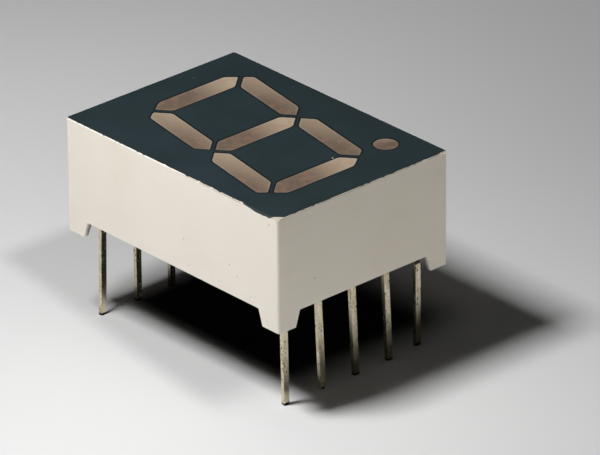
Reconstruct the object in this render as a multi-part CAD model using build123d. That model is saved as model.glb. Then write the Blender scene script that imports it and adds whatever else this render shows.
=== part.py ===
from build123d import *
from math import atan2, degrees, radians, sqrt, tan
import os

# One-digit seven-segment display: a moulded reflector shell with a dark ink face,
# eight cast light pipes, eight chips with bond wires, and ten leads of a stamped frame.
# Millimetres. X is the digit's right, Y its top, and Z the way the digit faces.
# The origin is under the middle of the body, level with the lead tips.

# Leads
lead_pitch = 2.54
leads_per_row = 5
row_spacing = 15.24
frame_offset = 0.2  # the stamped frame lies this far right of the body's middle
lead_width = 0.38
lead_thickness = 0.23
lead_reach = 5.4  # feet to lead tips
bend_radius = 0.2  # inside of each lead's bend
tip_flat = 0.08  # level part of a sheared tip

# Body shell
row_inset = 1.28  # either end of the body in to the middle of its row of leads
body_height = 6.05  # rim to viewing face
corner_radius = 0.15
edge_break = 0.04  # bevel round the upper edge
wall = 0.4
pocket_depth = 1.9  # rim to the underside of the deck
foot_height = 1.0
foot_along_side = 1.68
foot_along_end = 1.58
foot_draw_in = 0.32  # each foot is this much shorter at its sole
foot_thinning = 0.1  # and this much thinner

# Face
ink_thickness = 0.02
fill_recess = 0.01  # the cast fill shrinks this far below the ink

# Digit, measured on the plastic face before it is slanted
digit_height = 13.6
digit_width = 7.95
segment_width = 1.45
segment_gap = 0.27
slant_angle = 10
corner_cut_x = 1.5
corner_cut_y = 1.2
well_base_share = 0.6  # a well's lower opening against its upper one
dot_diameter = 1.5
dot_base_diameter = 1.3
dot_gap = 0.74  # digit's slanted edge to the dot
dot_lift = 0.1  # digit's foot line to the dot

# Inside
potting_recess = 0.3  # rim to the potting's surface
strip_width = 0.6
feed_width = 0.4
pad_gap = 0.3  # between a chip's pad and the finger beside it
chip_size = 0.3
chip_height = 0.2
chip_shift = 0.38  # gap's middle to the chip, and to the wire's landing
wire_diameter = 0.04
wire_sides = 6
wire_rise = 0.1  # straight part above the chip

# Wear
bite_radius = 0.35  # roundness of the bites in the shell's upper edge
corner_bite = 0.12  # depth of the one in the lower left corner
corner_flake = 0.55  # the ink has flaked off this far along both edges from there
# Bites in the left edge, from the lower left corner, and in the lower edge, from the
# lower right corner: how far along and how deep.
left_edge_bites = [(3.0, 0.08), (5.5, 0.08), (6.6, 0.09), (9.4, 0.07)]
lower_edge_bites = [(0.22, 0.1), (0.48, 0.09), (1.75, 0.08)]
# Sideways lean of each bent lead at its tip
lead_lean = {1: 0.12, 2: 0.33, 3: 0.33, 4: 0.33, 5: 0.04, 10: -0.15}
# How far a pushed lead stands in under the body, at which heights
pushed_leads = {5: [(0.2, 6.1), (0.2, 5.5), (0.08, 5.3)]}
# Each tip's lift off the origin's level, and the shear of its left and right corner
plain_tip = (0, 0.03, 0.02)
tips = {
    1: (0, 0.06, 0.1),
    2: (0, 0.12, 0.3),
    3: (0, 0.02, 0.01),
    4: (0.02, 0.02, 0.01),
    5: (0.13, 0.02, 0.01),
}

# The pitch goes on from one body to the next when digits stand side by side
body_width = leads_per_row * lead_pitch
body_length = row_spacing + 2 * row_inset
pocket_width = body_width - 2 * wall
pocket_length = body_length - 2 * wall

# Levels
seat_z = lead_reach
rim_z = seat_z + foot_height
top_z = rim_z + body_height
face_z = top_z - ink_thickness
fill_z = top_z - fill_recess
deck_z = rim_z + pocket_depth
potting_z = rim_z + potting_recess
frame_z = deck_z - lead_thickness
bend_z = frame_z - bend_radius
bend_y = row_spacing / 2 - lead_thickness / 2 - bend_radius

half_width = digit_width / 2
half_height = digit_height / 2
lean_rate = tan(radians(slant_angle))
mitre = segment_gap / sqrt(2)


def slanted(points):
    return [(x + y * lean_rate, y) for x, y in points]


def mirrored(points, side_x, side_y):
    flipped = [(x * side_x, y * side_y) for x, y in points]
    return flipped if side_x * side_y > 0 else flipped[::-1]


def on_corner_cut(x, y):
    # From x, y at 45 degrees out to the line that cuts the digit's upper left corner.
    run = (half_width + x) * corner_cut_y - (y - half_height + corner_cut_y) * corner_cut_x
    step = run / (corner_cut_x + corner_cut_y)
    return (x - step, y + step)


def level_segment():
    inner_x = half_width - segment_width - mitre
    inner_y = half_height - segment_width
    cut_x, cut_y = on_corner_cut(-inner_x, inner_y)
    left = [(-half_width + corner_cut_x, half_height), (cut_x, cut_y), (-inner_x, inner_y)]
    return left + mirrored(left, -1, 1)


def upright_segment():
    inner_x = -half_width + segment_width
    inner_y = half_height - segment_width - mitre
    return [
        (inner_x, inner_y),
        on_corner_cut(inner_x, inner_y),
        (-half_width, half_height - corner_cut_y),
        (-half_width, mitre + segment_width / 2),
        (-half_width + segment_width / 2, mitre),
        (inner_x, mitre + segment_width / 2),
    ]


def middle_segment():
    tip_x = half_width - segment_width / 2 - mitre
    shoulder_x = tip_x - segment_width / 2
    right = [(shoulder_x, -segment_width / 2), (tip_x, 0), (shoulder_x, segment_width / 2)]
    return right + mirrored(right, -1, 1)


outlines = {
    "a": level_segment(),
    "b": mirrored(upright_segment(), -1, 1),
    "c": mirrored(upright_segment(), -1, -1),
    "d": mirrored(level_segment(), 1, -1),
    "e": mirrored(upright_segment(), 1, -1),
    "f": upright_segment(),
    "g": middle_segment(),
}
outlines = {name: slanted(points) for name, points in outlines.items()}

dot_y = -half_height + dot_lift + dot_diameter / 2
dot_x = half_width + dot_y * lean_rate + dot_gap + dot_diameter / 2


def plate(points):
    return make_face(Polyline(*points, close=True)).face()


def middle_of(points):
    centre = plate(points).center()
    return (centre.X, centre.Y)


def segment_well(points):
    # Straight-sided funnel from the small lower opening up to the segment's outline.
    centre_x, centre_y = middle_of(points)
    upper = [(x, y, face_z) for x, y in points]
    lower = [
        (centre_x + (x - centre_x) * well_base_share, centre_y + (y - centre_y) * well_base_share, deck_z)
        for x, y in points
    ]
    sides = []
    for i in range(len(points)):
        j = (i + 1) % len(points)
        sides.append(plate([lower[i], lower[j], upper[j], upper[i]]))
    return Part(Solid(Shell(sides + [plate(lower), plate(upper)])).wrapped)


def opening(name):
    # Outline of one light pipe in the face.
    if name == "dp":
        return Pos(dot_x, dot_y) * Circle(dot_diameter / 2)
    return make_face(Polyline(*outlines[name], close=True))


def dot_well():
    funnel = Cone(
        dot_base_diameter / 2,
        dot_diameter / 2,
        face_z - deck_z,
        align=(Align.CENTER, Align.CENTER, Align.MIN),
    )
    return Pos(dot_x, dot_y, deck_z) * funnel


wells = {name: segment_well(points) for name, points in outlines.items()}
wells["dp"] = dot_well()


def body_outline():
    return RectangleRounded(body_width, body_length, corner_radius)


def prism(sketch, low, high):
    return Pos(0, 0, low) * extrude(sketch, high - low)


def foot_profile(length_at_rim, half_body):
    # Side view of the pair of feet at one wall: each narrows towards its sole.
    outer = [(half_body, rim_z), (half_body, seat_z)]
    inner = [(half_body - length_at_rim + foot_draw_in, seat_z), (half_body - length_at_rim, rim_z)]
    one = make_face(Polyline(*outer, *inner, close=True))
    return one + mirror(one, Plane.YZ)


def hollow_profile(half_pocket):
    # Side view of the space between the feet, which widens as they get thinner.
    half_sole = half_pocket + foot_thinning
    return make_face(
        Polyline(
            (-half_pocket, rim_z),
            (-half_sole, seat_z),
            (half_sole, seat_z),
            (half_pocket, rim_z),
            close=True,
        )
    )


def from_both_sides(front, side):
    # What a front view and a side view have in common.
    seen_from_front = extrude(Plane.XZ * front, body_length, both=True)
    seen_from_side = extrude(Plane.YZ * side, body_length, both=True)
    return seen_from_front & seen_from_side


def feet():
    # The walls run on below the rim at the four corners only.
    block = prism(body_outline(), seat_z, rim_z)
    hollow = from_both_sides(hollow_profile(pocket_width / 2), hollow_profile(pocket_length / 2))
    corners = from_both_sides(
        foot_profile(foot_along_end, body_width / 2), foot_profile(foot_along_side, body_length / 2)
    )
    return (block & corners) - hollow


def bite(x, y, out_x, out_y, depth):
    # Shell-shaped flake broken out of the upper edge.
    away = (bite_radius - depth) / sqrt(2)
    return Pos(x + out_x * away, y + out_y * away, top_z + away) * Sphere(bite_radius)


def edge_bites():
    left_x, lower_y = -body_width / 2, -body_length / 2
    bites = [bite(left_x, lower_y + along, -1, 0, depth) for along, depth in left_edge_bites]
    bites += [bite(-left_x - along, lower_y, 0, -1, depth) for along, depth in lower_edge_bites]
    return bites + [bite(left_x, lower_y, -sqrt(0.5), -sqrt(0.5), corner_bite)]


def housing():
    shell = prism(body_outline(), rim_z, face_z)
    shell = chamfer(shell.edges().group_by(Axis.Z)[-1], edge_break)
    shell -= prism(Rectangle(pocket_width, pocket_length), rim_z, deck_z)
    for well in wells.values():
        shell -= well
    shell += feet()
    for flake in edge_bites():
        shell -= flake
    return shell


def face_ink():
    coat = offset(body_outline(), -edge_break)
    for name in wells:
        coat -= opening(name)
    coat -= Pos(-body_width / 2, -body_length / 2) * RegularPolygon(corner_flake, 4)
    layer = prism(coat, face_z, top_z)
    for flake in edge_bites():
        layer -= flake
    return layer


# Frame layout: every chip sits on a pad of the common lead, beside the finger of its own lead.
# The split is the middle of the gap between the two, and the side says where the finger lies.
spine_x = frame_offset
finger_sides = {
    "a": (1, 0),
    "b": (0, 1),
    "c": (0, -1),
    "d": (-1, 0),
    "e": (0, -1),
    "f": (0, 1),
    "g": (-1, 0),
    "dp": (0, -1),
}
splits = {name: middle_of(points) for name, points in outlines.items()}
splits["g"] = (spine_x - strip_width / 2 - pad_gap / 2, splits["g"][1])
splits["dp"] = (dot_x, dot_y)

# The segment that each lead feeds. Leads count along the lower row from the left and back
# along the upper row, and the numbers left out are the two ends of the common lead.
feeds = {1: "e", 2: "d", 4: "c", 5: "dp", 6: "b", 7: "a", 9: "f", 10: "g"}
common_ends = [number for number in range(1, 2 * leads_per_row + 1) if number not in feeds]


def lead_row(number):
    return -1 if number <= leads_per_row else 1


def lead_x(number):
    column = number - 1 if lead_row(number) < 0 else 2 * leads_per_row - number
    return frame_offset + (column - (leads_per_row - 1) / 2) * lead_pitch


def strip(x0, x1, y0, y1):
    low_x, low_y = min(x0, x1), min(y0, y1)
    return Pos(low_x, low_y) * Rectangle(abs(x1 - x0), abs(y1 - y0), align=(Align.MIN, Align.MIN))


def upright_strip(x, y0, y1, width):
    return strip(x - width / 2, x + width / 2, y0, y1)


def level_strip(y, x0, x1):
    return strip(x0, x1, y - strip_width / 2, y + strip_width / 2)


def finger_shape(number):
    # From the bend straight in, then across to the edge of the gap.
    name = feeds[number]
    split_x, split_y = splits[name]
    side_x, side_y = finger_sides[name]
    own_x = lead_x(number)
    across_y = split_y + side_y * (pad_gap + strip_width) / 2
    if side_x:
        near_x = split_x + side_x * pad_gap / 2
        across = level_strip(across_y, near_x, own_x + side_x * feed_width / 2)
    else:
        low_x = min(own_x - feed_width / 2, split_x - strip_width / 2)
        high_x = max(own_x + feed_width / 2, split_x + strip_width / 2)
        across = level_strip(across_y, low_x, high_x)
    return across + upright_strip(own_x, lead_row(number) * bend_y, across_y, feed_width)


def common_shape():
    shape = upright_strip(spine_x, -bend_y, bend_y, strip_width)
    dot_pad_x = splits["dp"][0]
    for name, (side_x, side_y) in finger_sides.items():
        split_x, split_y = splits[name]
        pad_y = split_y - side_y * (pad_gap + strip_width) / 2
        if side_x:
            shape += level_strip(pad_y, spine_x, split_x - side_x * pad_gap / 2)
        elif name == "dp":
            shape += upright_strip(dot_pad_x, branch_y("c"), split_y + pad_gap / 2, strip_width)
        else:
            outward = strip_width / 2 if split_x > spine_x else -strip_width / 2
            far_x = dot_pad_x + outward if name == "c" else split_x + outward
            shape += level_strip(pad_y, spine_x, far_x)
    return shape


def branch_y(name):
    return splits[name][1] - finger_sides[name][1] * (pad_gap + strip_width) / 2


def bend():
    # Quarter turn from the flat frame down into a lead of the lower row.
    outer = bend_radius + lead_thickness
    ring = Circle(outer) - Circle(bend_radius)
    quarter = ring & (Pos(-outer / 2, outer / 2) * Rectangle(outer, outer))
    return extrude(Plane.YZ * (Pos(-bend_y, bend_z) * quarter), lead_width / 2, both=True)


def front_outline(number):
    # Straight in the potting, then leaning to a sheared tip.
    lean = lead_lean.get(number, 0)
    lift, left_cut, right_cut = tips.get(number, plain_tip)
    half, flat = lead_width / 2, tip_flat / 2
    return [
        (-half, bend_z),
        (-half, potting_z),
        (lean - half, lift + left_cut),
        (lean - flat, lift),
        (lean + flat, lift),
        (lean + half, lift + right_cut),
        (half, potting_z),
        (half, bend_z),
    ]


def side_outline(number):
    # Straight down, or in under the body and out again where the lead was pushed.
    path = [(0, bend_z), (0, potting_z)] + pushed_leads.get(number, [])
    path.append((path[-1][0], 0))
    half = lead_thickness / 2
    return [(y - half, z) for y, z in path] + [(y + half, z) for y, z in path[::-1]]


def shank(number):
    # Lead of the lower row, from the bend to its tip.
    front = make_face(Polyline(*front_outline(number), close=True))
    side = make_face(Polyline(*side_outline(number), close=True))
    return Pos(0, -row_spacing / 2, 0) * from_both_sides(front, side)


def leg(number):
    lower = Pos(lead_x(number), 0, 0) * (bend() + shank(number))
    return lower if lead_row(number) < 0 else mirror(lower, Plane.XZ)


def signal_lead(number):
    return prism(finger_shape(number), frame_z, deck_z) + leg(number)


def common_lead():
    lead = prism(common_shape(), frame_z, deck_z)
    for number in common_ends:
        lead += leg(number)
    return lead


def led_chip(name):
    split_x, split_y = splits[name]
    side_x, side_y = finger_sides[name]
    body = Box(chip_size, chip_size, chip_height, align=(Align.CENTER, Align.CENTER, Align.MIN))
    return Pos(split_x - side_x * chip_shift, split_y - side_y * chip_shift, deck_z) * body


def bond_wire(name):
    # Up from the chip, over in a half circle and down on the finger.
    split_x, split_y = splits[name]
    side_x, side_y = finger_sides[name]
    start_z = chip_height + wire_rise
    path = Line((-chip_shift, 0, chip_height), (-chip_shift, 0, start_z))
    path += ThreePointArc((-chip_shift, 0, start_z), (0, 0, start_z + chip_shift), (chip_shift, 0, start_z))
    path += Line((chip_shift, 0, start_z), (chip_shift, 0, 0))
    section = Plane((-chip_shift, 0, chip_height)) * RegularPolygon(wire_diameter / 2, wire_sides)
    turn = Rot(0, 0, degrees(atan2(side_y, side_x)))
    return Pos(split_x, split_y, deck_z) * turn * sweep(section, path=path)


nodes = {"housing": housing(), "face_ink": face_ink(), "common_lead": common_lead()}
for number in feeds:
    nodes[f"lead_{number}"] = signal_lead(number)

potting = prism(Rectangle(pocket_width, pocket_length), potting_z, deck_z)
for name, shape in nodes.items():
    if "lead" in name:
        potting -= shape
nodes["back_potting"] = potting

for name, well in wells.items():
    fill = well + prism(opening(name), face_z, fill_z) - led_chip(name) - bond_wire(name)
    nodes["decimal_point" if name == "dp" else f"segment_{name}"] = fill
    nodes[f"led_chip_{name}"] = led_chip(name)
    nodes[f"bond_wire_{name}"] = bond_wire(name)

os.makedirs("parts", exist_ok=True)
for name, shape in nodes.items():
    shape.label = name
    export_step(shape, f"parts/{name}.step")
    print(name, len(shape.solids()), round(shape.volume, 4))
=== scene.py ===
import math

import bpy
from mathutils import Matrix, Vector


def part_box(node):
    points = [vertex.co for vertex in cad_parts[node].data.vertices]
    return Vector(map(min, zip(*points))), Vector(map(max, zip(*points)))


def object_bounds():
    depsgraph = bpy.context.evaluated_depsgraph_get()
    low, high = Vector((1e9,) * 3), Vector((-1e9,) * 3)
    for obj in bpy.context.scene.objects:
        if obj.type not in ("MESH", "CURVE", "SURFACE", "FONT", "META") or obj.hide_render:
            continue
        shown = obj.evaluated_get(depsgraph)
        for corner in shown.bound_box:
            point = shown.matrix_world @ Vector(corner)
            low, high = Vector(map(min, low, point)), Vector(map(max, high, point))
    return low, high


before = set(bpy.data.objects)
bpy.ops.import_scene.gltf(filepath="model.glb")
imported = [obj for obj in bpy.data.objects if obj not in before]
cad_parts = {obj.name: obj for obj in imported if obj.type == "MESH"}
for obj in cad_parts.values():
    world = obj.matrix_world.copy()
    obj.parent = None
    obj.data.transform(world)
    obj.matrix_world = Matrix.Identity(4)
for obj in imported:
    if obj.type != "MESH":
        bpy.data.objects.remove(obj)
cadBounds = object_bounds()
print("frame loaded:", len(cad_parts), "nodes")

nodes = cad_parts
perMetre = 1000  # the finishes are worked out in millimetres
noiseMiddle = 0.5  # what noise averages, between 0 and 1
# where a dot's soft edge starts and ends, in radii, and what keeps a radius above 0
dotEdge = {"range": (1.3, 0.7), "least": 0.0001}


def paint(red, green, blue):
    # screen colour from 0 to 255 turned into Blender's linear colour
    shares = [value / 255 for value in (red, green, blue)]
    return tuple(s / 12.92 if s <= 0.04045 else ((s + 0.055) / 1.055) ** 2.4 for s in shares) + (1.0,)


def cornersMm(node):
    low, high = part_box(node)
    return Vector(low) * perMetre, Vector(high) * perMetre


class Signal:
    # a socket that can be used in plain sums; every sum adds its Math node
    def __init__(self, finish, socket):
        self.finish = finish
        self.socket = socket

    def __add__(self, other):
        return self.finish.sum("ADD", self, other)

    def __radd__(self, other):
        return self.finish.sum("ADD", other, self)

    def __sub__(self, other):
        return self.finish.sum("SUBTRACT", self, other)

    def __rsub__(self, other):
        return self.finish.sum("SUBTRACT", other, self)

    def __mul__(self, other):
        return self.finish.sum("MULTIPLY", self, other)

    def __rmul__(self, other):
        return self.finish.sum("MULTIPLY", other, self)

    def __truediv__(self, other):
        return self.finish.sum("DIVIDE", self, other)

    def __rtruediv__(self, other):
        return self.finish.sum("DIVIDE", other, self)

    def __abs__(self):
        return self.finish.sum("ABSOLUTE", self)


class Finish:
    # the nodes of one material, or of the world
    def __init__(self, owner):
        owner.use_nodes = True
        self.owner = owner
        self.tree = owner.node_tree
        self.tree.nodes.clear()

    def add(self, kind, settings=None, inputs=None, out=0):
        node = self.tree.nodes.new("ShaderNode" + kind)
        for key, value in (settings or {}).items():
            setattr(node, key, value)
        for key, value in (inputs or {}).items():
            if isinstance(value, Signal):
                self.tree.links.new(value.socket, node.inputs[key])
            else:
                node.inputs[key].default_value = value
        if isinstance(out, tuple):
            return [Signal(self, node.outputs[name]) for name in out]
        return Signal(self, node.outputs[out]) if len(node.outputs) else None

    def sum(self, operation, *values):
        return self.add("Math", {"operation": operation}, dict(enumerate(values)))

    def larger(self, first, second):
        return self.sum("MAXIMUM", first, second)

    def smaller(self, first, second):
        return self.sum("MINIMUM", first, second)

    def rounded(self, first, second, radius):
        # the smaller of the two, with a soft change between them
        return self.sum("SMOOTH_MIN", first, second, radius)

    def place(self):
        # where a point of the object lies, in millimetres
        here = self.add("TexCoord", out="Object")
        return self.add("VectorMath", {"operation": "SCALE"}, {0: here, "Scale": perMetre})

    def split(self, vector):
        return self.add("SeparateXYZ", None, {0: vector}, out=("X", "Y", "Z"))

    def distance(self, vector, spot):
        return self.add("VectorMath", {"operation": "DISTANCE"}, {0: vector, 1: spot}, out="Value")

    def stretched(self, vector, x, y, z):
        return self.add("VectorMath", {"operation": "MULTIPLY"}, {0: vector, 1: (x, y, z)})

    def ramp(self, value, start, full, high=1.0):
        # soft step from 0 to high while value goes from start to full
        settings = {"interpolation_type": "SMOOTHSTEP"}
        return self.add("MapRange", settings, {0: value, 1: start, 2: full, 3: 0.0, 4: high})

    def noise(self, vector, scale, detail=3.0, roughness=0.55):
        inputs = {"Vector": vector, "Scale": scale, "Detail": detail, "Roughness": roughness}
        return self.add("TexNoise", None, inputs, out="Fac")

    def spot(self, vector, centre, radius, core=0.0):
        # full within the core's share of the radius, nothing beyond the radius
        return self.ramp(self.distance(vector, centre), radius, radius * core)

    def dots(self, vector, scale, size, share):
        # round specks at random points: that share of the points has one, of at most that size
        inputs = {"Vector": vector, "Scale": scale}
        away, chance = self.add("TexVoronoi", None, inputs, out=("Distance", "Color"))
        luck = self.add("SeparateColor", None, {0: chance})
        radius = size * self.ramp(luck, 1 - share, 1.0)
        return self.ramp(away / (radius + dotEdge["least"]), *dotEdge["range"])

    def mix(self, first, second, share, mode="MIX"):
        settings = {"data_type": "RGBA", "blend_type": mode}
        return self.add("Mix", settings, {0: share, 6: first, 7: second}, out=2)

    def shade(self, colour, amount):
        # colour made lighter or darker by amount, where 1 leaves it alone
        grey = self.add("CombineColor", None, {0: amount, 1: amount, 2: amount})
        return self.mix(colour, grey, 1.0, "MULTIPLY")

    def bump(self, height, depthMm):
        return self.add("Bump", None, {"Height": height, "Distance": depthMm / perMetre, "Strength": 1.0})

    def finished(self, **sockets):
        inputs = {name.replace("_", " "): value for name, value in sockets.items()}
        shader = self.add("BsdfPrincipled", None, inputs)
        self.add("OutputMaterial", None, {0: shader})
        return self.owner


def newFinish(name):
    return Finish(bpy.data.materials.new(name))


def dress(name, material):
    # the CAD node keeps its mesh and gets the finish in its slots
    for slot in nodes[name].material_slots:
        slot.material = material


# in the dictionaries below a range says where a tone starts and where it is full

# body shell, with the ink's tone where ink ran over its edge
inkTone = paint(25, 39, 42)
shell = {
    "cream": paint(247, 239, 227),
    "warmer": paint(245, 236, 222),
    "warmerScale": 0.35,
    "warmerRange": (0.35, 0.75),
    "speck": paint(150, 132, 112),
    "speckScale": 0.9,
    "speckSize": 0.04,
    "speckShare": 0.2,
    "speckStrength": 0.4,
    "mark": paint(158, 138, 120),
    "markCore": 0.4,
    "markStrength": 0.8,
    # painted shade for the recesses under the body
    "grime": paint(104, 92, 84),
    "grimeHeight": (6.6, 6.3),
    "grimeInward": (0.08, 0.3),
    "grimeStrength": 0.85,
    "worn": paint(188, 178, 163),
    "wornDepth": (0.13, 0.078),
    "wornPlace": (0.5, -3.0),
    "wornStrength": 0.8,
    "grainScale": 9.0,
    "grainDepth": 0.003,
    "gloss": 0.4,
    "roughness": 0.52,
    "roughnessSpread": 0.12,
}
# ink that ran over the left wall: start, full, ebb and end are distances from the lower corner
inkRun = {
    "start": 0.35,
    "full": 0.8,
    "ebb": 1.7,
    "end": 3.4,
    "depth": 0.17,
    "wallRange": (0.12, 0.06),
    "raggedScale": 2.4,
    "bleedRange": (0.5, 0.62),
    "bleedDepth": 0.045,
    "soft": 0.01,
}
# small marks on the walls: place in millimetres and radius
marks = (
    ((-6.35, -8.17, 11.87), 0.07),
    ((-6.35, -1.03, 8.43), 0.06),
    ((-6.35, -4.86, 8.23), 0.06),
    ((-6.35, -5.48, 7.69), 0.05),
    ((-3.66, -8.9, 7.97), 0.06),
)

shellLow, shellHigh = cornersMm("housing")
topZ = cornersMm("face_ink")[1].z


def shellFinish():
    finish = newFinish("cream moulding")
    place = finish.place()
    x, y, z = finish.split(place)
    cloud = finish.noise(place, shell["warmerScale"])
    colour = finish.mix(shell["cream"], shell["warmer"], finish.ramp(cloud, *shell["warmerRange"]))
    specks = finish.dots(place, shell["speckScale"], shell["speckSize"], shell["speckShare"])
    colour = finish.mix(colour, shell["speck"], specks * shell["speckStrength"])
    for centre, radius in marks:
        near = finish.spot(place, centre, radius, shell["markCore"])
        colour = finish.mix(colour, shell["mark"], near * shell["markStrength"])

    # painted shade on the inner sides of the rim and the feet, where little light reaches
    inward = finish.smaller(shellHigh.x - abs(x), shellHigh.y - abs(y))
    grime = finish.ramp(inward, *shell["grimeInward"]) * finish.ramp(z, *shell["grimeHeight"])
    colour = finish.mix(colour, shell["grime"], grime * shell["grimeStrength"])

    # the uppermost edge is dull where the bites are, and clean further up
    worn = finish.ramp(topZ - z, *shell["wornDepth"]) * finish.ramp(y, *shell["wornPlace"])
    colour = finish.mix(colour, shell["worn"], worn * shell["wornStrength"])

    # ragged ink that ran over the edge, and the little that bleeds over the bevel elsewhere
    along = y - shellLow.y
    ragged = finish.noise(place, inkRun["raggedScale"], detail=4.0, roughness=0.6)
    swell = finish.ramp(along, inkRun["start"], inkRun["full"])
    swell = swell * finish.ramp(along, inkRun["end"], inkRun["ebb"])
    onLeft = finish.ramp(x - shellLow.x, *inkRun["wallRange"])
    run = inkRun["depth"] * swell * onLeft * (noiseMiddle + ragged)
    bleed = finish.ramp(ragged, *inkRun["bleedRange"], high=inkRun["bleedDepth"])
    beyond = topZ - z - finish.larger(run, bleed)
    colour = finish.mix(colour, inkTone, finish.ramp(beyond, inkRun["soft"], -inkRun["soft"]))

    grain = finish.noise(place, shell["grainScale"], detail=4.0, roughness=0.6)
    return finish.finished(
        Base_Color=colour,
        Roughness=shell["roughness"] + shell["roughnessSpread"] * (grain - noiseMiddle),
        Specular_IOR_Level=shell["gloss"],
        Normal=finish.bump(grain, shell["grainDepth"]),
    )


dress("housing", shellFinish())
print("shell finished")

# digit outline, on the face and before it slants
digit = {
    "halfWidth": 3.975,
    "halfHeight": 6.8,
    "bar": 1.45,
    "gap": 0.27,
    "cutX": 1.5,
    "cutY": 1.2,
    "lean": math.tan(math.radians(10)),
    "soften": 0.2,
}
diagonal = math.sqrt(2)


def fromCorner(finish, u, v):
    # how far in from the outer sides and the cut corner
    cutX, cutY = digit["cutX"], digit["cutY"]
    left, below = digit["halfWidth"] - u, digit["halfHeight"] - v
    cut = (left * cutY + below * cutX - cutX * cutY) / math.hypot(cutX, cutY)
    return finish.rounded(cut, finish.smaller(left, below), digit["soften"])


def insideBar(finish, kind, place):
    # distance in from the nearest edge of a bar, below 0 outside it
    x, y = finish.split(place)[:2]
    u, v = abs(x - y * digit["lean"]), abs(y)
    innerU = digit["halfWidth"] - digit["bar"]
    innerV = digit["halfHeight"] - digit["bar"]
    middleU = digit["halfWidth"] - digit["bar"] / 2
    mitre = ((v - innerV) - (u - innerU)) / diagonal
    if kind == "level":
        inner = finish.rounded(v - innerV, mitre - digit["gap"] / 2, digit["soften"])
        return finish.rounded(inner, fromCorner(finish, u, v), digit["soften"])
    if kind == "upright":
        notch = (v - digit["gap"] / diagonal - abs(u - middleU)) / diagonal
        inner = finish.rounded(0 - mitre - digit["gap"] / 2, notch, digit["soften"])
        inner = finish.rounded(u - innerU, inner, digit["soften"])
        return finish.rounded(inner, fromCorner(finish, u, v), digit["soften"])
    ends = (middleU - digit["gap"] / diagonal - u - v) / diagonal
    return finish.rounded(digit["bar"] / 2 - v, ends, digit["soften"])


def insideDot(finish, place):
    low, high = cornersMm("decimal_point")
    centre = (low + high) / 2
    x, y = finish.split(place)[:2]
    level = finish.add("CombineXYZ", None, {0: x, 1: y, 2: centre.z})
    return (high.x - low.x) / 2 - finish.distance(level, tuple(centre))


# printed ink
ink = {
    "paler": paint(30, 44, 48),
    "palerScale": 0.25,
    "palerRange": (0.35, 0.7),
    "dust": paint(120, 122, 118),
    "dustScale": 1.3,
    "dustSize": 0.035,
    "dustShare": 0.12,
    "dustStrength": 0.35,
    # painted shade for the edges of the openings
    "outline": paint(11, 17, 18),
    "paintedEdgeShadeRange": (-0.112, -0.048),
    "scuff": paint(70, 82, 90),
    "scuffPlace": (2.31, 7.82, topZ),
    "scuffRadius": 0.16,
    "scuffStrength": 0.5,
    "chipPlace": (1.053, -5.241, topZ),
    "chipRadius": 0.07,
    "chipCore": 0.6,
    "grainScale": 14.0,
    "grainDepth": 0.002,
    "gloss": 0.25,
    "roughness": 0.5,
    "roughnessSpread": 0.1,
}


def inkFinish():
    finish = newFinish("printed ink")
    place = finish.place()
    cloud = finish.noise(place, ink["palerScale"])
    colour = finish.mix(inkTone, ink["paler"], finish.ramp(cloud, *ink["palerRange"]))
    dust = finish.dots(place, ink["dustScale"], ink["dustSize"], ink["dustShare"])
    colour = finish.mix(colour, ink["dust"], dust * ink["dustStrength"])

    # painted shade along the edges of the openings, where the edge dips to the fill
    nearest = insideDot(finish, place)
    for kind in ("level", "upright", "middle"):
        nearest = finish.larger(nearest, insideBar(finish, kind, place))
    colour = finish.mix(colour, ink["outline"], finish.ramp(nearest, *ink["paintedEdgeShadeRange"]))

    # a scuff near the top, and ink flaked off beside the lowest bar
    scuffed = finish.spot(place, ink["scuffPlace"], ink["scuffRadius"])
    colour = finish.mix(colour, ink["scuff"], scuffed * ink["scuffStrength"])
    chipped = finish.spot(place, ink["chipPlace"], ink["chipRadius"], ink["chipCore"])
    colour = finish.mix(colour, shell["worn"], chipped)

    grain = finish.noise(place, ink["grainScale"])
    return finish.finished(
        Base_Color=colour,
        Roughness=ink["roughness"] + ink["roughnessSpread"] * (grain - noiseMiddle),
        Specular_IOR_Level=ink["gloss"],
        Normal=finish.bump(grain, ink["grainDepth"]),
    )


dress("face_ink", inkFinish())
print("ink finished")

# light pipes
pipe = {
    # the milky fill's tone on its painted shaded side and on its painted lit side
    "deep": paint(103, 86, 71),
    "paintedLitSide": paint(180, 161, 136),
    "levelRange": (-0.3, 1.0),
    "acrossRange": (-0.45, 0.45),
    "acrossStrength": 0.24,
    "upwardRange": (-0.6, 1.0),
    "upwardStrength": 0.42,
    "streakScale": 2.4,
    "levelStretch": (1.0, 8.0, 1.0),
    "uprightStretch": (8.0, 1.0, 1.0),
    "streakStrength": 0.32,
    "streakDepth": 0.004,
    "blush": paint(156, 120, 99),
    "blushScale": 1.7,
    "blushRange": (0.45, 0.7),
    "blushStrength": 0.28,
    # painted highlight along the fill's edge
    "rim": paint(172, 164, 153),
    "rimRange": (0.2, 0.07),
    "rimLeast": 0.1,
    "rimWherePale": 0.45,
    # painted shade where the ink's lip meets the fill
    "paintedEdgeShadeOnFillRange": (0.06, 0.03),
    "gloss": 0.45,
    "roughness": 0.33,
    "roughnessSpread": 0.2,
}
levelBars = {"segment_a": "level", "segment_d": "level", "segment_g": "middle"}
# how much more painted light or shade each upright bar gets, and the dot
uprightBars = {"segment_b": -0.06, "segment_c": -0.08, "segment_e": 0.0, "segment_f": 0.01}
dotShift = -0.26


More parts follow.
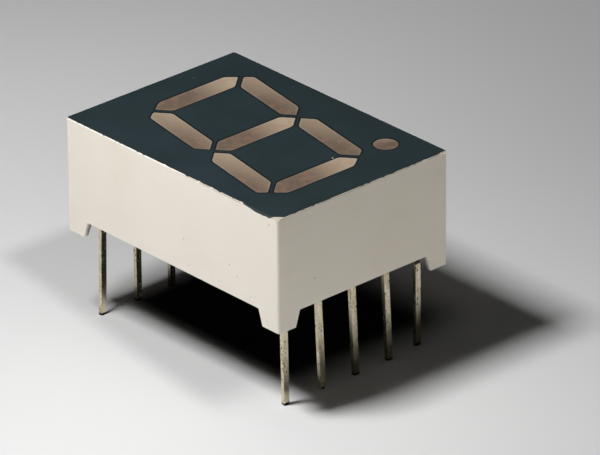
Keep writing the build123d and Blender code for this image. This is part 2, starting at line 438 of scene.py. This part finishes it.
def paintedLightShare(finish, place, name, shift):
    # painted light and shade: the side of the well that faces the lamp shows paler through the fill, the
    # other side deeper
    low, high = cornersMm(name)
    centre, half = (low + high) / 2, (high - low) / 2
    x, y = finish.split(place)[:2]
    across = x - centre.x - (y - centre.y) * digit["lean"]
    if shift is None:
        return finish.ramp(across / half.x, *pipe["levelRange"])
    sideways = finish.ramp(across / digit["bar"], *pipe["acrossRange"])
    upward = finish.ramp((y - centre.y) / half.y, *pipe["upwardRange"])
    return pipe["acrossStrength"] * sideways + pipe["upwardStrength"] * upward + shift


def pipeFinish(name, outline, shift=None):
    # the streaks run along each bar; only level bars have no shift
    finish = newFinish("milky " + name)
    place = finish.place()
    stretch = pipe["levelStretch"] if shift is None else pipe["uprightStretch"]
    stretched = finish.stretched(place, *stretch)
    streaks = finish.noise(stretched, pipe["streakScale"], detail=4.0, roughness=0.7)
    paintedLitSide = paintedLightShare(finish, place, name, shift) + pipe["streakStrength"] * (streaks - noiseMiddle)
    paintedLitSide = finish.smaller(finish.larger(paintedLitSide, 0), 1)
    colour = finish.mix(pipe["deep"], pipe["paintedLitSide"], paintedLitSide)
    cloud = finish.noise(place, pipe["blushScale"], detail=2.0)
    blush = finish.ramp(cloud, *pipe["blushRange"])
    colour = finish.mix(colour, pipe["blush"], pipe["blushStrength"] * blush)

    # a painted highlight along the fill's edge, strongest on the painted lit side, and a hair-wide line of
    # painted shade where the ink's lip meets the fill
    inward = outline(finish, place)
    rim = finish.ramp(inward, *pipe["rimRange"]) * (pipe["rimLeast"] + pipe["rimWherePale"] * paintedLitSide)
    colour = finish.mix(colour, pipe["rim"], rim)
    colour = finish.mix(colour, ink["outline"], finish.ramp(inward, *pipe["paintedEdgeShadeOnFillRange"]))
    return finish.finished(
        Base_Color=colour,
        Roughness=pipe["roughness"] + pipe["roughnessSpread"] * (streaks - noiseMiddle),
        Specular_IOR_Level=pipe["gloss"],
        Normal=finish.bump(streaks, pipe["streakDepth"]),
    )


def barOutline(kind):
    return lambda finish, place: insideBar(finish, kind, place)


for name, kind in levelBars.items():
    dress(name, pipeFinish(name, barOutline(kind)))
for name, shift in uprightBars.items():
    dress(name, pipeFinish(name, barOutline("upright"), shift))
dress("decimal_point", pipeFinish("decimal_point", insideDot, dotShift))
print("light pipes finished")

# leads
lead = {
    "tin": paint(224, 215, 192),
    "tarnish": paint(188, 172, 136),
    "tarnishScale": 1.5,
    "tarnishStretch": (2.0, 2.0, 0.8),
    "tarnishRange": (0.4, 0.7),
    "tarnishDepth": 0.01,
    "stain": paint(120, 102, 72),
    "stainScale": 12.0,
    "stainStretch": (1.0, 1.0, 0.6),
    "stainSize": 0.5,
    "stainShare": 0.5,
    "stainStrength": 0.5,
    "pit": paint(52, 43, 30),
    "pitScale": 8.0,
    "pitStretch": (1.0, 1.0, 0.5),
    "pitSize": 0.38,
    "pitShare": 0.45,
    "pitStrength": 0.85,
    # painted shade and reflected shadow at the lower ends
    "paintedEndShade": paint(66, 60, 44),
    "paintedEndShadeStrength": 0.7,
    "shorn": paint(34, 29, 22),
    "shornHeight": 0.14,
    "shornSoft": 0.02,
    "metal": 0.92,
    "metalLostInPits": 0.6,
    "roughness": 0.12,
    "roughnessOfTarnish": 0.12,
    "roughnessOfPits": 0.3,
}
# leads that stand in the shadow get painted shade at their lower end, the shadowed floor's painted
# reflection: height where it starts and where it is full
paintedEndShadeHeights = {"common_lead": (1.5, 0.6), "lead_4": (1.5, 0.7), "lead_5": (2.7, 1.2)}


def leadFinish(name):
    finish = newFinish("tarnished " + name)
    place = finish.place()
    height = finish.split(place)[2]
    stretched = finish.stretched(place, *lead["tarnishStretch"])
    cloud = finish.noise(stretched, lead["tarnishScale"], detail=5.0, roughness=0.65)
    colour = finish.mix(lead["tin"], lead["tarnish"], finish.ramp(cloud, *lead["tarnishRange"]))
    stretched = finish.stretched(place, *lead["stainStretch"])
    stains = finish.dots(stretched, lead["stainScale"], lead["stainSize"], lead["stainShare"])
    colour = finish.mix(colour, lead["stain"], stains * lead["stainStrength"])
    stretched = finish.stretched(place, *lead["pitStretch"])
    pits = finish.dots(stretched, lead["pitScale"], lead["pitSize"], lead["pitShare"])
    colour = finish.mix(colour, lead["pit"], pits * lead["pitStrength"])

    # painted shade at the lower end, and shorn ends
    if name in paintedEndShadeHeights:
        paintedEndShade = finish.ramp(height, *paintedEndShadeHeights[name])
        colour = finish.mix(colour, lead["paintedEndShade"], paintedEndShade * lead["paintedEndShadeStrength"])
    end = cornersMm(name)[0].z + lead["shornHeight"] * (noiseMiddle + cloud)
    shorn = finish.ramp(height - end, lead["shornSoft"], -lead["shornSoft"])
    colour = finish.mix(colour, lead["shorn"], shorn)
    roughness = lead["roughness"] + lead["roughnessOfTarnish"] * cloud + lead["roughnessOfPits"] * pits
    return finish.finished(
        Base_Color=colour,
        Metallic=lead["metal"] - lead["metalLostInPits"] * pits,
        Roughness=roughness,
        Normal=finish.bump(cloud, lead["tarnishDepth"]),
    )


for name in nodes:
    if "lead" in name:
        dress(name, leadFinish(name))
print("leads finished")

# potting, light chips and bond wires: how their nodes' names start, and their finish
hidden = {
    "back_potting": {"name": "cast back", "tone": paint(66, 62, 58), "scale": 0.8, "Roughness": 0.3},
    "led_chip": {"name": "light chip", "tone": paint(196, 92, 40), "scale": 6.0, "Roughness": 0.2},
    "bond_wire": {
        "name": "bond wire",
        "tone": paint(230, 190, 96),
        "scale": 20.0,
        "Roughness": 0.25,
        "Metallic": 1.0,
    },
}
cloudy = {"darkest": 0.85, "strength": 0.3, "depth": 0.01}


def plainFinish(name, tone, scale, **sockets):
    finish = newFinish(name)
    cloud = finish.noise(finish.place(), scale, detail=4.0)
    colour = finish.shade(tone, cloudy["darkest"] + cloudy["strength"] * cloud)
    return finish.finished(Base_Color=colour, Normal=finish.bump(cloud, cloudy["depth"]), **sockets)


for beginning, values in hidden.items():
    material = plainFinish(**values)
    for name in nodes:
        if name.startswith(beginning):
            dress(name, material)
print("inside finished")

# floor: tones, and where each starts and is full in millimetres on the floor
floor = {
    "halfSize": 1.5,
    "near": paint(241, 241, 241),
    "middle": paint(227, 227, 227),
    "middleRange": (-24, 6),
    "middleLean": 0.4,
    "far": paint(247, 247, 247),
    "farRange": (12, 50),
    "farLean": 0.3,
    "under": paint(38, 38, 38),
    "underLeft": (-3.6, -2),
    "underRight": (12, 7),
    "underFront": (-8.5, -4.5),
    "underBack": (9, 7),
    "faint": 0.24,
    "faintLean": 0.16,
    "faintLeft": (-8.3, -6.2),
    "faintFront": (-7, -3),
    "faintBack": (18.4, 16.2),
    "haze": paint(150, 150, 150),
    "hazeRange": (40, 200),
    "roughness": 0.9,
}
view = {
    "azimuth": -42.012,
    "elevation": 26.49,
    "roll": -0.457,
    "lens": 428.7,
    "sensor": 36.0,
    "clip": (0.01, 10),
    "distance": 0.399741,
    "slideRight": 0.002485,
    "slideUp": -0.005249,
    "aim": (0, 0, topZ / perMetre),
}


def viewAxes():
    turn, rise, roll = (math.radians(view[key]) for key in ("azimuth", "elevation", "roll"))
    right = Vector((math.cos(turn), math.sin(turn), 0))
    back = Vector((math.sin(turn) * math.cos(rise), -math.cos(turn) * math.cos(rise), math.sin(rise)))
    up = back.cross(right)
    tilted = math.cos(roll) * right + math.sin(roll) * up
    return tilted, back.cross(tilted), back


def floorFinish():
    # a little darker in the middle, and palest far behind the part
    finish = newFinish("pale tabletop")
    place = finish.place()
    x, y = finish.split(place)[:2]
    turn = math.radians(view["azimuth"])
    away = y * math.cos(turn) - x * math.sin(turn)
    rightward = x * math.cos(turn) + y * math.sin(turn)
    middle = finish.ramp(away - floor["middleLean"] * rightward, *floor["middleRange"])
    tone = finish.mix(floor["near"], floor["middle"], middle)
    far = finish.ramp(away - floor["farLean"] * rightward, *floor["farRange"])
    tone = finish.mix(tone, floor["far"], far)

    # deepest where the part keeps all light off
    toRight = finish.ramp(x, *floor["underRight"])
    across = finish.ramp(x, *floor["underLeft"]) * toRight
    along = finish.ramp(y, *floor["underFront"]) * finish.ramp(y, *floor["underBack"])
    tone = finish.mix(tone, floor["under"], across * along)

    # a wider, faint shade behind the part and along its left side
    beside = finish.ramp(x - floor["faintLean"] * y, *floor["faintLeft"]) * toRight
    behind = finish.ramp(y, *floor["faintBack"]) * finish.ramp(y, *floor["faintFront"])
    tone = finish.shade(tone, 1 - floor["faint"] * beside * behind)

    # a haze far outside the picture
    seen = finish.add("LightPath", out="Is Camera Ray")
    haze = finish.ramp(finish.distance(place, (0, 0, 0)), *floor["hazeRange"]) * seen
    return finish.finished(
        Base_Color=tone,
        Roughness=floor["roughness"],
        Specular_IOR_Level=0.0,
        Emission_Color=finish.mix((0, 0, 0, 1), floor["haze"], haze),
        Emission_Strength=1.0,
    )


def makeFloor():
    half = floor["halfSize"]
    corners = [(-half, -half, 0), (half, -half, 0), (half, half, 0), (-half, half, 0)]
    mesh = bpy.data.meshes.new("tabletop")
    mesh.from_pydata(corners, [], [(0, 1, 2, 3)])
    thing = bpy.data.objects.new("tabletop", mesh)
    thing.location.z = cadBounds[0][2]
    mesh.materials.append(floorFinish())
    bpy.context.scene.collection.objects.link(thing)


makeFloor()
print("floor laid")

# lamps: the direction each shines from, how far away and wide it is in metres, its level
# on a surface that faces it, and its colour
lamps = {
    "soft key": {
        "towards": (-0.447, 0.077, 0.891),
        "away": 0.0745,
        "size": 0.0165,
        "level": 1.09,
        "colour": (1.0, 1.0, 1.0),
    },
    "low fill": {
        "towards": (0.2, -0.97, 0.03),
        "away": 0.5,
        "size": 0.03,
        "level": 0.135,
        "colour": (1.0, 0.98, 0.87),
    },
}
surroundings = {"tone": paint(176, 178, 182), "soft": 0.045, "seen": 0.4}


def makeLamp(name, towards, away, size, level, colour):
    light = bpy.data.lights.new(name, "AREA")
    light.shape = "SQUARE"
    light.size = size
    light.energy = level * math.pi**2 * away**2
    light.color = colour
    thing = bpy.data.objects.new(name, light)
    direction = Vector(towards).normalized()
    thing.location = Vector((0, 0, topZ / perMetre / 2)) + direction * away
    thing.rotation_euler = direction.to_track_quat("Z", "Y").to_euler()
    thing.visible_camera = False
    bpy.context.scene.collection.objects.link(thing)


def makeSurroundings():
    # the room is dim for soft light, and pale where the camera or a reflection sees it
    room = Finish(bpy.data.worlds.new("surroundings"))
    camera, glossy, clear = room.add(
        "LightPath", out=("Is Camera Ray", "Is Glossy Ray", "Is Transmission Ray")
    )
    seen = room.larger(camera, room.larger(glossy, clear))
    strength = surroundings["soft"] + (surroundings["seen"] - surroundings["soft"]) * seen
    sky = room.add("Background", None, {"Color": surroundings["tone"], "Strength": strength})
    room.add("OutputWorld", None, {0: sky})
    bpy.context.scene.world = room.owner


for name, lamp in lamps.items():
    makeLamp(name, **lamp)
makeSurroundings()
bpy.context.scene.view_settings.view_transform = "Standard"
print("lamps and surroundings placed")


# camera
def makeCamera():
    right, up, back = viewAxes()
    lens = bpy.data.cameras.new("camera")
    lens.lens = view["lens"]
    lens.sensor_width = view["sensor"]
    lens.sensor_fit = "HORIZONTAL"
    lens.clip_start, lens.clip_end = view["clip"]
    thing = bpy.data.objects.new("camera", lens)
    spot = Vector(view["aim"]) + right * view["slideRight"] + up * view["slideUp"] + back * view["distance"]
    thing.matrix_world = Matrix.Translation(spot) @ Matrix((right, up, back)).transposed().to_4x4()
    bpy.context.scene.collection.objects.link(thing)
    bpy.context.scene.camera = thing


makeCamera()
print("camera placed")
